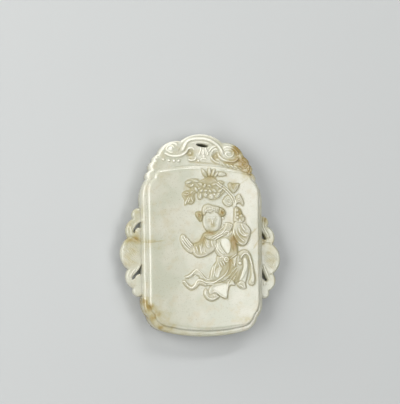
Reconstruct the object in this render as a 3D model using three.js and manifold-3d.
// A carved pendant plaque of pale jade, made as one solid piece of stone, in millimetres.
// It lies on its back: +X runs across it, +Y towards the crest and +Z out of the carved face.
// The origin is on the resting face, under the middle of the outline.

import * as THREE from "three";
import { mergeVertices } from "three/addons/utils/BufferGeometryUtils.js";
import Module from "manifold-3d";

const wasm = await Module();
wasm.setup();

// Levels of the stone, measured up from the resting face
const BACK_PANEL_Z = 0;
const BACK_FLANGE_Z = 1.0;
const MID_Z = 4.25;
const FLANGE_Z = 7.5;
const PANEL_Z = 8.7;
const EAR_HALF_THICKNESS = 1.6;

// Rounding of the polished edges
const BODY_ROUND = 1.4;
const PANEL_ROUND = 0.95;
const EAR_ROUND = 0.6;
const RELIEF_ROOT = 0.5;

// Length of one straight facet on a curved edge
const OUTLINE_FACET = 1.25;
const PANEL_FACET = 1.9;
const RIDGE_FACET = 1.1;

// Half outline of the plaque, from the crown down the right side.
// A row is a notch or joint, and the bulge of the arc that leaves it.
const CROWN_BULGE = 2.45;
const BODY_HALF_OUTLINE = [
  [6.65, 28.85, 1.55],
  [13.7, 24.6, 0.45],
  [15.3, 22.4, 0.65],
  [16.1, 19.6, 0.6],
  [17.3, 16.9, 0.7],
  [19.2, 9.5, 0],
  [19.0, -20, 0.6],
  [17.3, -25.4, 0.85],
  [13.0, -29.65, 1.65],
];

// Half outline of the raised panel, with an indented corner at the top and at the foot
const PANEL_TOP_BULGE = 1.65;
const PANEL_HALF_OUTLINE = [
  [13.8, 19.75, 0.4],
  [15.45, 17.2, 0.4],
  [17.6, 13.4, 0],
  [17.4, -19.5, 0.6],
  [15.7, -24.4, 0.8],
  [12.0, -28.15, 1.4],
];

// How much wider the panel's right half came out
const PANEL_RIGHT_STRETCH = 1.025;

// The openwork ears: five lobes each, x measured out from the centre line and y from the ear's middle
const EAR_LOBES = [
  [18.5, 13.0, 1.75],
  [21.4, 10.15, 1.4],
  [23.1, 4.3, 2.35],
  [23.15, -5.4, 1.4],
  [21.6, -11.2, 1.5],
  [18.6, -13.1, 0],
];
const EAR_ROOT_X = 17.2;
const EARS = [
  {
    side: -1,
    middle: -5.5,
    stretch: 1,
    openings: [
      [[-18.9, 3.5], [-19.9, 3.2], [-20.8, 2.3], [-21.45, 1.1], [-21.4, 0.4], [-21.0, 0.5], [-20.8, 1.3],
        [-20.0, 1.9], [-18.9, 2.0]],
      [[-18.9, -9.5], [-20.0, -11.0], [-21.3, -12.4], [-22.0, -13.3], [-21.8, -13.9], [-21.2, -13.6],
        [-20.6, -12.7], [-19.8, -12.2], [-18.9, -12.1]],
    ],
    ridges: [[[-22.6, 2.4], [-22.3, 0.8], [-22.3, -0.4]], [[-21.0, -10.6], [-22.2, -12.0], [-22.8, -13.4]]],
  },
  {
    side: 1,
    middle: -6.45,
    stretch: 0.95,
    openings: [
      [[18.9, 1.7], [19.6, 1.2], [20.3, 0.4], [20.8, -0.5], [20.6, -1.0], [20.0, -0.9], [19.4, -0.3], [18.9, 0.3]],
      [[18.9, -9.9], [19.6, -10.9], [20.3, -12.2], [21.0, -13.4], [20.8, -13.9], [20.3, -13.8], [19.6, -13.1],
        [18.9, -12.4]],
    ],
    ridges: [[[20.2, 6.0], [19.9, 4.4], [20.5, 2.1], [21.6, -0.4]], [[19.6, -8.6], [20.5, -10.8], [21.8, -13.8]]],
  },
];
const EAR_RIDGE = { width: 0.7, rise: 0.3 };

// Cord hole under the arch of the crest
const CORD_HOLE = [[-1.9, 27.9], [-0.9, 28.15], [0.6, 28.05], [2.0, 27.6], [1.3, 27.15], [-0.2, 27.2], [-1.3, 27.45]];

// The carver's small skew: how far the height leans and the width drops, per millimetre
const LEAN = 0.012;
const LEAN_FROM_Y = -5;
const DROP = 0.008;

// How far the drawings of the crest, branch and child below are set down on the stone
const SET_DOWN = 0.9;

// Ridges of the crest: the arch over the mask, the sweeps and curls of the scrolls, lids, nose and mouth
const CREST_RIDGES = [
  [[-6.7, 26.2], [-6.1, 27.5], [-4.9, 29.5], [-1.7, 30.6], [0.6, 30.6], [3.6, 29.55], [5.7, 27.7], [6.6, 25.6]],
  [[-4.7, 27.5], [-5.8, 25.8], [-7.9, 25.0], [-10.8, 25.2], [-12.0, 26.0]],
  [[-12.4, 26.8], [-11.3, 28.4], [-8.8, 28.9], [-7.9, 28.2]],
  [[4.9, 26.4], [5.7, 24.9], [8.0, 23.9], [10.8, 24.3], [11.6, 25.2]],
  [[6.7, 27.9], [9.5, 28.1], [11.6, 26.0]],
  [[-4.6, 24.2], [-3.1, 23.8], [-2.05, 25.0]],
  [[2.7, 25.2], [3.7, 23.8], [5.4, 23.2]],
  [[0.2, 27.4], [0.3, 25.4]],
  [[-0.6, 24.0], [0.3, 24.5], [1.4, 24.0]],
];
const CREST_RIDGE = { width: 0.6, rise: 0.5 };
const SPIRAL = { at: [8.5, 26.3], outer: 1.5, inner: 0.3, start: 2.6, turns: -1.2 };
const EYES = { at: [[-3.9, 25.9], [4.2, 25.3]], length: 0.65, width: 0.65, slant: 0, rise: 0.35 };
const LEFT_CURL = { at: [-10.1, 27.2], length: 0.75, width: 0.75, slant: 0, rise: 0.4 };
const BEADS = { count: 5, from: [-13.4, 24.0], to: [-7.6, 23.3], sag: 0.3, length: 0.42, width: 0.42, slant: 0, rise: 0.34 };
const ROPE = { count: 5, from: [6.6, 22.85], to: [12.1, 21.9], sag: 0, length: 0.7, width: 0.3, slant: -0.75, rise: 0.36 };

// Height of the figure's relief; the rows below give each part's share of it
const RELIEF_HEIGHT = 0.68;

// The relief on the panel: the outline of each raised part, from the lowest layer up
const CHILD = [
  // sash that streams to the left, and its lower end
  [[[5.6, -11.8], [3.2, -12.9], [1.2, -13.1], [-0.2, -12.0], [-2.0, -10.1], [-3.6, -10.3], [-5.4, -12.0],
    [-4.5, -12.3], [-3.2, -11.5], [-2.1, -11.7], [-0.7, -13.4], [1.2, -14.6], [3.6, -14.2], [6.2, -13.0]], 0.45],
  [[[-0.2, -12.9], [-1.9, -12.9], [-3.0, -14.2], [-4.3, -14.8], [-5.8, -13.9], [-6.1, -14.7], [-4.5, -16.1],
    [-2.8, -15.5], [-1.6, -14.4], [0.6, -14.9]], 0.45],
  // loop of the scarf on the right
  [[[10.4, -5.2], [11.5, -3.9], [13.0, -3.5], [14.4, -4.4], [15.1, -6.4], [15.7, -9.2], [16.2, -12.2], [15.9, -14.0],
    [15.0, -14.5], [14.1, -13.7], [14.7, -11.6], [14.7, -9.0], [14.2, -6.4], [13.2, -5.1], [12.2, -5.6],
    [11.6, -7.0]], 0.5],
  // leg and shoe on the right
  [[[12.3, -6.4], [13.4, -6.0], [13.9, -8.2], [13.8, -11.0], [13.0, -13.6], [11.6, -14.2], [10.3, -13.7],
    [11.4, -11.6], [12.2, -9.2]], 0.65],
  [[[10.2, -14.1], [11.2, -13.3], [12.6, -13.4], [13.5, -14.7], [13.5, -15.7], [12.3, -16.0], [10.9, -15.6]], 0.8],
  // trouser leg and shoe at the foot of the figure
  [[[8.7, -12.2], [7.6, -13.8], [4.4, -13.8], [2.2, -14.6], [1.2, -16.2], [1.5, -17.5], [3.0, -17.2], [4.6, -17.7],
    [5.8, -18.4], [7.0, -18.6], [7.2, -16.4], [8.0, -14.6], [9.6, -14.4]], 0.6],
  [[[0.2, -15.6], [-0.4, -17.2], [0.6, -18.9], [2.2, -19.4], [3.8, -18.8], [4.6, -17.9], [3.0, -17.1],
    [1.4, -16.6]], 0.75],
  // skirt of the robe
  [[[4.2, -5.6], [3.7, -7.3], [2.4, -9.3], [1.6, -12.6], [3.2, -13.2], [6.2, -13.2], [8.2, -12.4], [10.2, -13.8],
    [11.6, -11.2], [12.3, -8.4], [11.6, -6.2], [10.4, -5.0], [7.6, -5.6]], 0.7],
  // torso and its dress front
  [[[2.6, 0.6], [5.6, 1.6], [8.8, 2.6], [9.9, -0.2], [10.6, -3.2], [10.2, -5.4], [7.6, -6.2], [4.6, -5.6],
    [3.2, -3.6], [2.2, -1.0]], 0.7],
  // sleeve and hand stretched to the left
  [[[2.8, 0.9], [-0.2, 0.7], [-1.6, -1.3], [-3.6, -2.2], [-4.0, -4.2], [-2.8, -5.9], [-0.6, -6.0], [1.4, -5.1],
    [3.4, -3.6], [4.0, -1.2]], 0.85],
  [[[-3.5, -2.2], [-5.2, -0.5], [-6.9, 0.9], [-7.5, 0.2], [-7.1, -2.3], [-6.2, -3.6], [-4.5, -4.8],
    [-3.2, -3.8]], 0.6],
  // raised sleeve and the fist round the stem
  [[[9.2, 3.9], [10.2, 5.1], [11.6, 5.2], [13.4, 4.5], [14.8, 2.4], [14.4, 0.2], [13.4, -1.8], [12.0, -2.3],
    [10.4, -1.6], [9.3, 0.2], [8.9, 2.2]], 0.9],
  [[[9.6, 5.2], [9.6, 7.2], [9.7, 9.2], [10.6, 9.7], [11.6, 8.9], [12.2, 7.6], [13.0, 5.6]], 0.75],
  // collar
  [[[-0.3, 0.9], [1.4, 1.9], [5.6, 2.6], [6.9, 4.7], [9.1, 4.2], [8.4, 2.2], [6.4, 0.6], [3.2, -0.8],
    [0.8, -0.4]], 0.8],
  // head, hair and side knots
  [[[0.1, 3.0], [-0.5, 5.4], [0.0, 7.8], [1.6, 9.2], [3.8, 9.1], [5.4, 7.6], [5.6, 5.2], [4.9, 2.9], [3.3, 1.7],
    [1.5, 1.8]], 1.0],
  [[[-0.6, 7.2], [-0.3, 9.4], [1.0, 10.3], [2.8, 9.9], [4.6, 9.5], [5.4, 8.1], [4.4, 7.5], [3.2, 8.1], [2.0, 7.5],
    [0.9, 7.9], [0.2, 6.9]], 1.15],
  [[[-0.6, 7.5], [-1.7, 7.9], [-2.7, 7.4], [-2.3, 6.3], [-1.2, 5.0], [-0.5, 5.9]], 0.8],
  [[[4.5, 8.5], [5.4, 9.2], [6.4, 8.6], [6.8, 7.5], [6.1, 6.7], [4.9, 6.9]], 0.9],
];

// Folds of the sleeves, lapel, belt and skirt, as crests along the cloth
const FOLDS = [
  [[[0.6, -0.3], [0.7, -2.0], [1.4, -3.7]], 0.85],
  [[[-1.5, -2.6], [-1.1, -3.9], [-1.2, -5.2]], 0.85],
  [[[-2.9, -2.9], [-2.4, -4.2]], 0.85],
  [[[11.8, 4.5], [12.3, 3.3], [13.4, 2.5]], 0.9],
  [[[10.9, 2.8], [11.6, 1.3], [13.2, 0.9]], 0.9],
  [[[9.5, 1.2], [10.2, -0.5], [11.9, -1.5]], 0.9],
  [[[4.4, -1.4], [5.2, -3.2], [6.6, -4.9]], 0.7],
  [[[7.9, -0.6], [7.7, -2.0], [8.5, -4.6]], 0.7],
  [[[4.3, -6.0], [6.6, -7.0], [8.6, -6.4], [10.6, -5.4]], 0.75],
  [[[3.2, -9.2], [2.4, -12.4]], 0.7],
  [[[4.9, -8.0], [4.2, -10.2], [4.2, -12.6]], 0.7],
  [[[8.7, -7.2], [8.6, -9.2], [7.2, -11.9]], 0.7],
  [[[10.4, -6.6], [10.6, -9.4], [9.6, -12.2]], 0.7],
  [[[1.5, 1.4], [3.6, 0.8], [5.9, 1.9], [7.4, 3.4]], 0.8],
  [[[4.6, -15.0], [5.6, -16.4], [5.3, -17.8]], 0.6],
];
const FOLD_SIZE = { width: 0.55, rise: 0.16 };

// The branch held overhead: leaves as outlines, then petals and blossom heads worked out from their sizes
const LEAVES = [
  [[7.9, 16.7], [8.6, 17.1], [9.3, 16.6], [9.9, 16.9], [11.4, 16.8], [10.7, 15.1], [9.6, 14.1], [8.4, 15.0]],
  [[10.2, 12.6], [11.3, 13.7], [12.0, 12.9], [12.7, 11.3], [12.5, 10.2], [11.4, 11.0], [10.3, 10.7]],
  [[6.0, 11.3], [6.6, 12.4], [7.6, 13.2], [8.7, 12.7], [9.5, 11.3], [8.8, 10.2], [7.7, 9.8], [6.6, 10.3]],
  [[4.6, 20.1], [5.7, 20.5], [6.8, 20.1], [7.2, 19.5], [6.2, 19.1], [4.8, 19.1]],
];
const LEAF_RISE = 0.36;
const STEM = [[4.1, 17.1], [6.4, 15.5], [8.4, 13.7], [9.8, 11.4], [9.9, 9.4]];
const STEM_SIZE = { width: 0.75, rise: 0.42 };

// The mass of blossoms, and its petals: middle, half length, half width, turn
const BLOSSOMS = [
  [-5.6, 16.6], [-4.6, 17.7], [-2.3, 18.0], [-1.4, 17.5], [0.0, 17.9], [1.6, 18.8], [3.6, 18.4], [4.5, 17.4],
  [6.3, 17.2], [6.1, 16.4], [7.3, 15.2], [6.1, 13.8], [5.1, 12.6], [4.1, 12.0], [2.7, 11.7], [1.4, 12.1], [0.7, 12.7],
  [-0.4, 12.4], [-1.3, 11.8], [-1.9, 12.6], [-2.0, 13.7], [-3.1, 13.2], [-3.0, 11.4], [-4.0, 10.4], [-5.1, 10.6],
  [-5.9, 11.2], [-6.8, 13.0], [-6.1, 14.0], [-4.7, 14.4], [-4.0, 15.2], [-5.4, 15.8],
];
const BLOSSOMS_RISE = 0.24;
const PETALS = [
  [[-1.1, 12.8], 1.05, 0.62, 80],
  [[0.6, 13.2], 0.85, 0.62, 100],
  [[4.5, 13.3], 1.2, 0.7, 50],
  [[2.4, 12.8], 1.0, 0.9, 95],
  [[5.4, 14.7], 1.0, 0.55, 40],
  [[-2.4, 14.8], 0.9, 0.6, 120],
  [[-3.7, 15.9], 0.85, 0.55, 20],
  [[-1.0, 16.4], 0.9, 0.62, 150],
  [[0.3, 15.9], 0.8, 0.6, 60],
  [[3.4, 14.5], 0.9, 0.55, -40],
  [[3.4, 16.5], 0.85, 0.55, 20],
  [[-4.7, 16.9], 1.1, 0.5, 15],
  [[-5.3, 12.0], 1.6, 0.4, 60],
  [[-3.7, 11.9], 1.2, 0.4, 110],
  [[0.3, 19.9], 1.5, 0.62, 122],
  [[3.1, 20.1], 1.4, 0.55, 70],
  [[1.9, 20.4], 1.6, 0.6, 88],
];
const PETAL_RISE = 0.4;

// Soft nephrite, pale green-white
const JADE = new THREE.MeshStandardMaterial({ color: 0xd9d8c3, roughness: 0.32, metalness: 0 });

const vec2 = ([x, y]) => new THREE.Vector2(x, y);
const mirrored = (points) => points.map(([x, y, ...rest]) => [-x, y, ...rest]);

// Points of the circular arc from a to b, without b, which stands out to the left by the bulge.
function arc(a, b, bulge, facet) {
  const chord = Math.hypot(b[0] - a[0], b[1] - a[1]);
  const middle = [(a[0] + b[0]) / 2, (a[1] + b[1]) / 2];
  const left = [-(b[1] - a[1]) / chord, (b[0] - a[0]) / chord];
  if (Math.abs(bulge) < 1e-6) return [a];
  const radius = (chord * chord) / (8 * bulge) + bulge / 2;
  const centre = middle.map((m, i) => m + left[i] * (bulge - radius));
  const from = Math.atan2(a[1] - centre[1], a[0] - centre[0]);
  const half = 2 * Math.atan2(2 * bulge, chord);
  const steps = Math.max(2, Math.ceil((2 * half * Math.abs(radius)) / facet));
  return Array.from({ length: steps }, (_, i) => {
    const angle = from - (2 * half * i) / steps;
    return [centre[0] + radius * Math.cos(angle), centre[1] + radius * Math.sin(angle)];
  });
}

// Open run of arcs through rows of [x, y, bulge].
function arcs(rows, facet) {
  return rows.slice(0, -1).flatMap((row, i) => arc(row, rows[i + 1], row[2], facet));
}

// Closed outline from the rows of its right half, with one arc over the top and one under the foot.
function symmetricOutline(half, topBulge, facet) {
  const left = mirrored(half).reverse();
  const leftRows = left.map(([x, y], i) => [x, y, i + 1 < left.length ? left[i + 1][2] : topBulge]);
  const rows = [...half.slice(0, -1), [...half.at(-1).slice(0, 2), half.at(-1)[2]], ...leftRows, half[0]];
  return arcs(rows, facet);
}

// Smooth closed outline through a few points.
function smoothOutline(points, perPoint = 2) {
  const curve = new THREE.CatmullRomCurve3(points.map(([x, y]) => new THREE.Vector3(x, y, 0)), true, "catmullrom", 0.5);
  return curve.getPoints(points.length * perPoint).slice(0, -1).map((p) => [p.x, p.y]);
}

function manifold(geometry) {
  for (const name of ["normal", "uv"]) geometry.deleteAttribute(name);
  const merged = mergeVertices(geometry, 1e-4);
  return new wasm.Manifold(
    new wasm.Mesh({
      numProp: 3,
      vertProperties: merged.attributes.position.array,
      triVerts: new Uint32Array(merged.index.array),
    }),
  );
}

// A slab between two levels, its edges rounded inside the outline.
function slab(outline, low, high, round, segments) {
  const geometry = new THREE.ExtrudeGeometry(new THREE.Shape(outline.map(vec2)), {
    depth: high - low - 2 * round,
    bevelThickness: round,
    bevelSize: round,
    bevelOffset: -round,
    bevelSegments: segments,
  });
  return manifold(geometry.translate(0, 0, low + round));
}

// A prism with plain edges, for cutting.
function prism(outline, low, high) {
  const geometry = new THREE.ExtrudeGeometry(new THREE.Shape(outline.map(vec2)), {
    depth: high - low,
    bevelEnabled: false,
  });
  return manifold(geometry.translate(0, 0, low));
}

// A raised part of the relief, with a chamfered top edge, rooted in the stone.
function raised(outline, level, rise) {
  const chamfer = Math.min(0.3, rise * 0.6);
  return slab(outline, level - RELIEF_ROOT, level + rise, chamfer, 1);
}

// A half-round ridge along a curve.
function ridge(points, level, { width, rise }) {
  const path = new THREE.CatmullRomCurve3(points.map(([x, y]) => new THREE.Vector3(x, y, level)));
  const section = new THREE.Shape();
  section.absellipse(0, 0, rise, width / 2, 0, 2 * Math.PI);
  const geometry = new THREE.ExtrudeGeometry(section, {
    steps: Math.max(3, Math.round(path.getLength() / RIDGE_FACET)),
    curveSegments: 3,
    extrudePath: path,
  });
  return manifold(geometry);
}

// A sharp crest along a curve, for a fold of cloth.
function fold(points, level, { width, rise }) {
  const path = new THREE.CatmullRomCurve3(points.map(([x, y]) => new THREE.Vector3(x, y, level)));
  const section = new THREE.Shape([[-rise, 0], [rise, width / 2], [rise, -width / 2]].map(vec2));
  const geometry = new THREE.ExtrudeGeometry(section, { steps: 4, extrudePath: path });
  return manifold(geometry);
}

// A small egg-shaped bead, turned in the plane.
function bead([x, y], level, { length, width, slant, rise }) {
  const geometry = new THREE.SphereGeometry(1, 6, 4).rotateX(Math.PI / 2);
  geometry.scale(length, width, rise).rotateZ(slant).translate(x, y, level);
  return manifold(geometry);
}

// The outer body: flange, crest lobes and foot, with the cord hole through it.
function makeBody() {
  const outline = symmetricOutline(BODY_HALF_OUTLINE, CROWN_BULGE, OUTLINE_FACET);
  const body = slab(outline, BACK_FLANGE_Z, FLANGE_Z, BODY_ROUND, 2);
  return body.subtract(prism(smoothOutline(CORD_HOLE), 0, PANEL_Z));
}

// The raised panel, which stands out of both faces of the body.
function makePanel() {
  const even = symmetricOutline(PANEL_HALF_OUTLINE, PANEL_TOP_BULGE, PANEL_FACET);
  const outline = even.map(([x, y]) => [x > 0 ? x * PANEL_RIGHT_STRETCH : x, y]);
  return slab(outline, BACK_PANEL_Z, PANEL_Z, PANEL_ROUND, 2);
}

// One openwork ear with its two pierced scrolls.
function makeEar({ side, middle, stretch, openings, ridges }) {
  const place = ([x, y]) => [side * x, middle + stretch * y];
  const lobes = arcs(EAR_LOBES, OUTLINE_FACET);
  const root = [[EAR_LOBES.at(-1)[0], EAR_LOBES.at(-1)[1]], [EAR_ROOT_X, -12], [EAR_ROOT_X, 12]];
  const front = MID_Z + EAR_HALF_THICKNESS;
  let ear = slab([...lobes, ...root].map(place), MID_Z - EAR_HALF_THICKNESS, front, EAR_ROUND, 2);
  for (const opening of openings) ear = ear.subtract(prism(smoothOutline(opening), 0, PANEL_Z));
  for (const line of ridges) ear = ear.add(ridge(line, front - 0.1, EAR_RIDGE));
  return ear;
}

// Points of a scroll that winds inwards.
function scrollPoints({ at, outer, inner, start, turns }, steps = 14) {
  return Array.from({ length: steps + 1 }, (_, i) => {
    const t = i / steps;
    const angle = start + turns * 2 * Math.PI * t;
    const radius = outer + (inner - outer) * t;
    return [at[0] + radius * Math.cos(angle), at[1] + radius * Math.sin(angle)];
  });
}

// A row of like beads between two points, sagging a little in the middle.
function beadRow({ count, from, to, sag, ...size }, level) {
  return Array.from({ length: count }, (_, i) => {
    const t = i / (count - 1);
    const at = [from[0] + (to[0] - from[0]) * t, from[1] + (to[1] - from[1]) * t - 4 * sag * t * (1 - t)];
    return bead(at, level, size);
  });
}

// The crest: an animal mask between two cloud scrolls, over beads on one side and a rope on the other.
function makeCrest() {
  const level = FLANGE_Z;
  return [
    ...CREST_RIDGES.map((line) => ridge(line, level, CREST_RIDGE)),
    ridge(scrollPoints(SPIRAL), level, CREST_RIDGE),
    ...EYES.at.map((at) => bead(at, level, EYES)),
    bead(LEFT_CURL.at, level, LEFT_CURL),
    ...beadRow(BEADS, level),
    ...beadRow(ROPE, level),
  ];
}

// The child of the relief, in layers from the streaming sash up to the hair, and the folds of the dress.
function makeChild() {
  const layers = CHILD.map(([points, share]) => raised(smoothOutline(points), PANEL_Z, share * RELIEF_HEIGHT));
  const folds = FOLDS.map(([line, share]) => fold(line, PANEL_Z + share * RELIEF_HEIGHT, FOLD_SIZE));
  return [...layers, ...folds];
}

// The flowering branch over the child's head.
function makeBranch() {
  return [
    ridge(STEM, PANEL_Z, STEM_SIZE),
    ...LEAVES.map((leaf) => raised(smoothOutline(leaf), PANEL_Z, LEAF_RISE)),
    raised(smoothOutline(BLOSSOMS), PANEL_Z, BLOSSOMS_RISE),
    ...PETALS.map(([at, length, width, degrees], i) => {
      const slant = THREE.MathUtils.degToRad(degrees);
      return bead(at, PANEL_Z, { length, width, slant, rise: PETAL_RISE + 0.02 * (i % 3) });
    }),
  ];
}

function makePlaque() {
  let stone = makeBody().add(makePanel());
  for (const ear of EARS) stone = stone.add(makeEar(ear));
  const relief = [...makeCrest(), ...makeBranch(), ...makeChild()];
  for (const part of relief) stone = stone.add(part.translate(0, -SET_DOWN, 0));
  return stone;
}

function meshOf(name, solid, material) {
  const { numProp, vertProperties, triVerts } = solid.getMesh();
  const positions = new Float32Array((vertProperties.length / numProp) * 3);
  for (let i = 0; i < positions.length / 3; i++)
    positions.set(vertProperties.subarray(i * numProp, i * numProp + 3), i * 3);
  const geometry = new THREE.BufferGeometry();
  geometry.setAttribute("position", new THREE.BufferAttribute(positions, 3));
  geometry.setIndex(new THREE.BufferAttribute(triVerts, 1));
  geometry.applyMatrix4(new THREE.Matrix4().set(1, -LEAN, 0, LEAN * LEAN_FROM_Y, -DROP, 1, 0, 0, 0, 0, 1, 0, 0, 0, 0, 1));
  geometry.computeVertexNormals();
  const mesh = new THREE.Mesh(geometry, material);
  mesh.name = name;
  return mesh;
}

const plaque = new THREE.Group();
plaque.add(meshOf("plaque", makePlaque(), JADE));

export default plaque;
